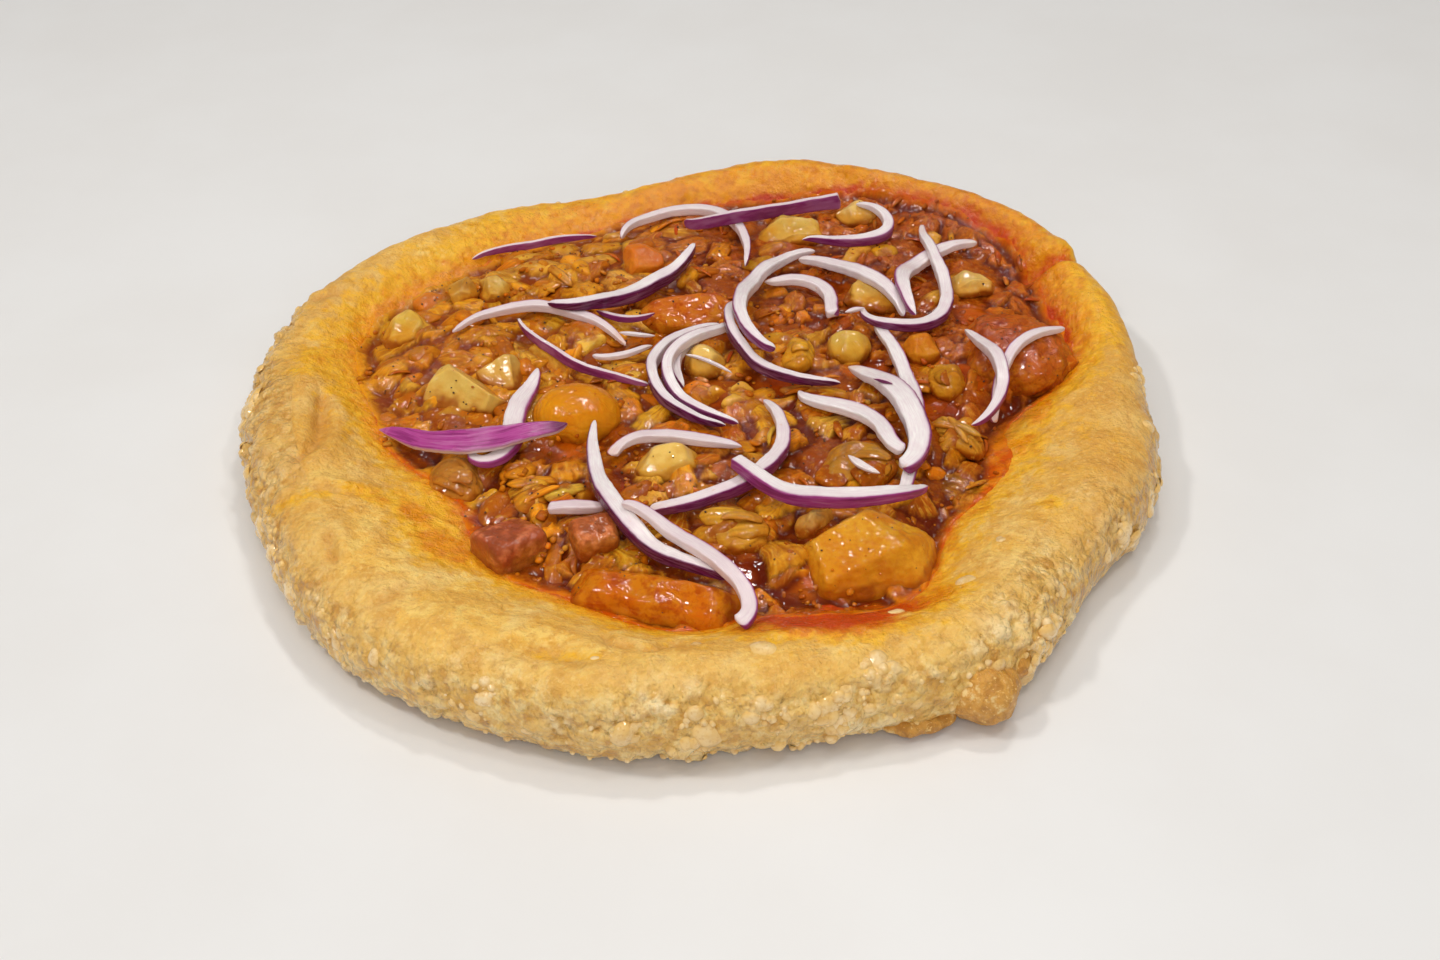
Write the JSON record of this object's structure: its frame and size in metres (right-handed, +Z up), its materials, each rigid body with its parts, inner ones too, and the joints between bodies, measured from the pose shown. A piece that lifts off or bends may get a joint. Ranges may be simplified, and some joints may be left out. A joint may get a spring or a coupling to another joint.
{
  "type": "langos with vegetable stew",
  "caption": "Round fried flatbread with a puffed golden rim and a sunken middle full of thick vegetable stew, topped with strips of raw red onion.",
  "frame": {"origin": "under the middle of the bounding box, on the surface that the bread lies on", "axes": "+Z up, the low near side of the bread towards -Y, its raised far side towards +Y, +X to the right as in the picture"},
  "size_m": [0.2278, 0.23, 0.028],
  "materials": {
    "dough": "fried dough: satin, leathery top, small pale blisters on its side",
    "stew": "wet orange-brown vegetable stew with an oily gloss",
    "potato": "boiled potato, wet, yellow",
    "cabbage": "pale yellow-green cooked vegetable, wet and slightly translucent",
    "cooked_onion": "cooked onion, golden brown, wet and translucent",
    "pepper": "yellow-green cooked pepper, wet",
    "garlic": "cooked garlic clove, pale yellow, wet",
    "cherry_tomato": "orange cherry tomato, wrinkled skin, wet",
    "tomato": "cooked tomato, red-orange, wet",
    "carrot": "cooked carrot, orange, wet",
    "sausage": "smoked sausage, red-brown, wet",
    "red_onion": "raw red onion: white to lilac cut faces, purple skin on the outer side"
  },
  "bodies": {
    "root": {"dough": "dough", "stew": "stew", "potato_wedge_1": "potato", "potato_wedge_2": "potato", "pepper_piece_1": "pepper", "cherry_tomato_1": "cherry_tomato", "stewed_onion_1": "cooked_onion", "stewed_onion_2": "cooked_onion", "sausage_cube_1": "sausage", "sausage_cube_2": "sausage", "tomato_wedge_1": "tomato", "potato_chunk_1": "potato", "onion_petal_1": "cabbage", "garlic_clove_1": "garlic", "garlic_clove_2": "garlic", "pepper_piece_2": "pepper", "stewed_onion_4": "cooked_onion", "tomato_wedge_2": "tomato", "carrot_cube_1": "carrot", "tomato_half_1": "tomato", "carrot_cube_2": "carrot", "stewed_onion_5": "cooked_onion", "cabbage_piece_1": "cabbage", "cabbage_piece_2": "cabbage", "cabbage_piece_3": "cabbage", "cabbage_piece_4": "cabbage", "stewed_onion_6": "cooked_onion", "cabbage_piece_5": "cabbage", "potato_chunk_2": "potato", "stewed_onion_7": "cooked_onion", "onion_strip_01": "red_onion", "onion_strip_02": "red_onion", "onion_strip_03": "red_onion", "onion_strip_04": "red_onion", "onion_strip_05": "red_onion", "onion_strip_06": "red_onion", "onion_strip_07": "red_onion", "onion_strip_09": "red_onion", "onion_strip_10": "red_onion", "onion_strip_11": "red_onion", "onion_strip_12": "red_onion", "onion_strip_13": "red_onion", "onion_strip_14": "red_onion", "onion_strip_15": "red_onion", "onion_strip_16": "red_onion", "onion_strip_17": "red_onion", "onion_strip_18": "red_onion", "onion_strip_19": "red_onion", "onion_strip_20": "red_onion", "onion_strip_21": "red_onion", "onion_strip_22": "red_onion", "onion_strip_23": "red_onion", "onion_strip_24": "red_onion", "onion_strip_25": "red_onion", "onion_strip_26": "red_onion", "onion_strip_27": "red_onion", "onion_strip_28": "red_onion", "onion_strip_29": "red_onion", "onion_strip_30": "red_onion", "onion_strip_31": "red_onion"}
  },
  "joints": []
}
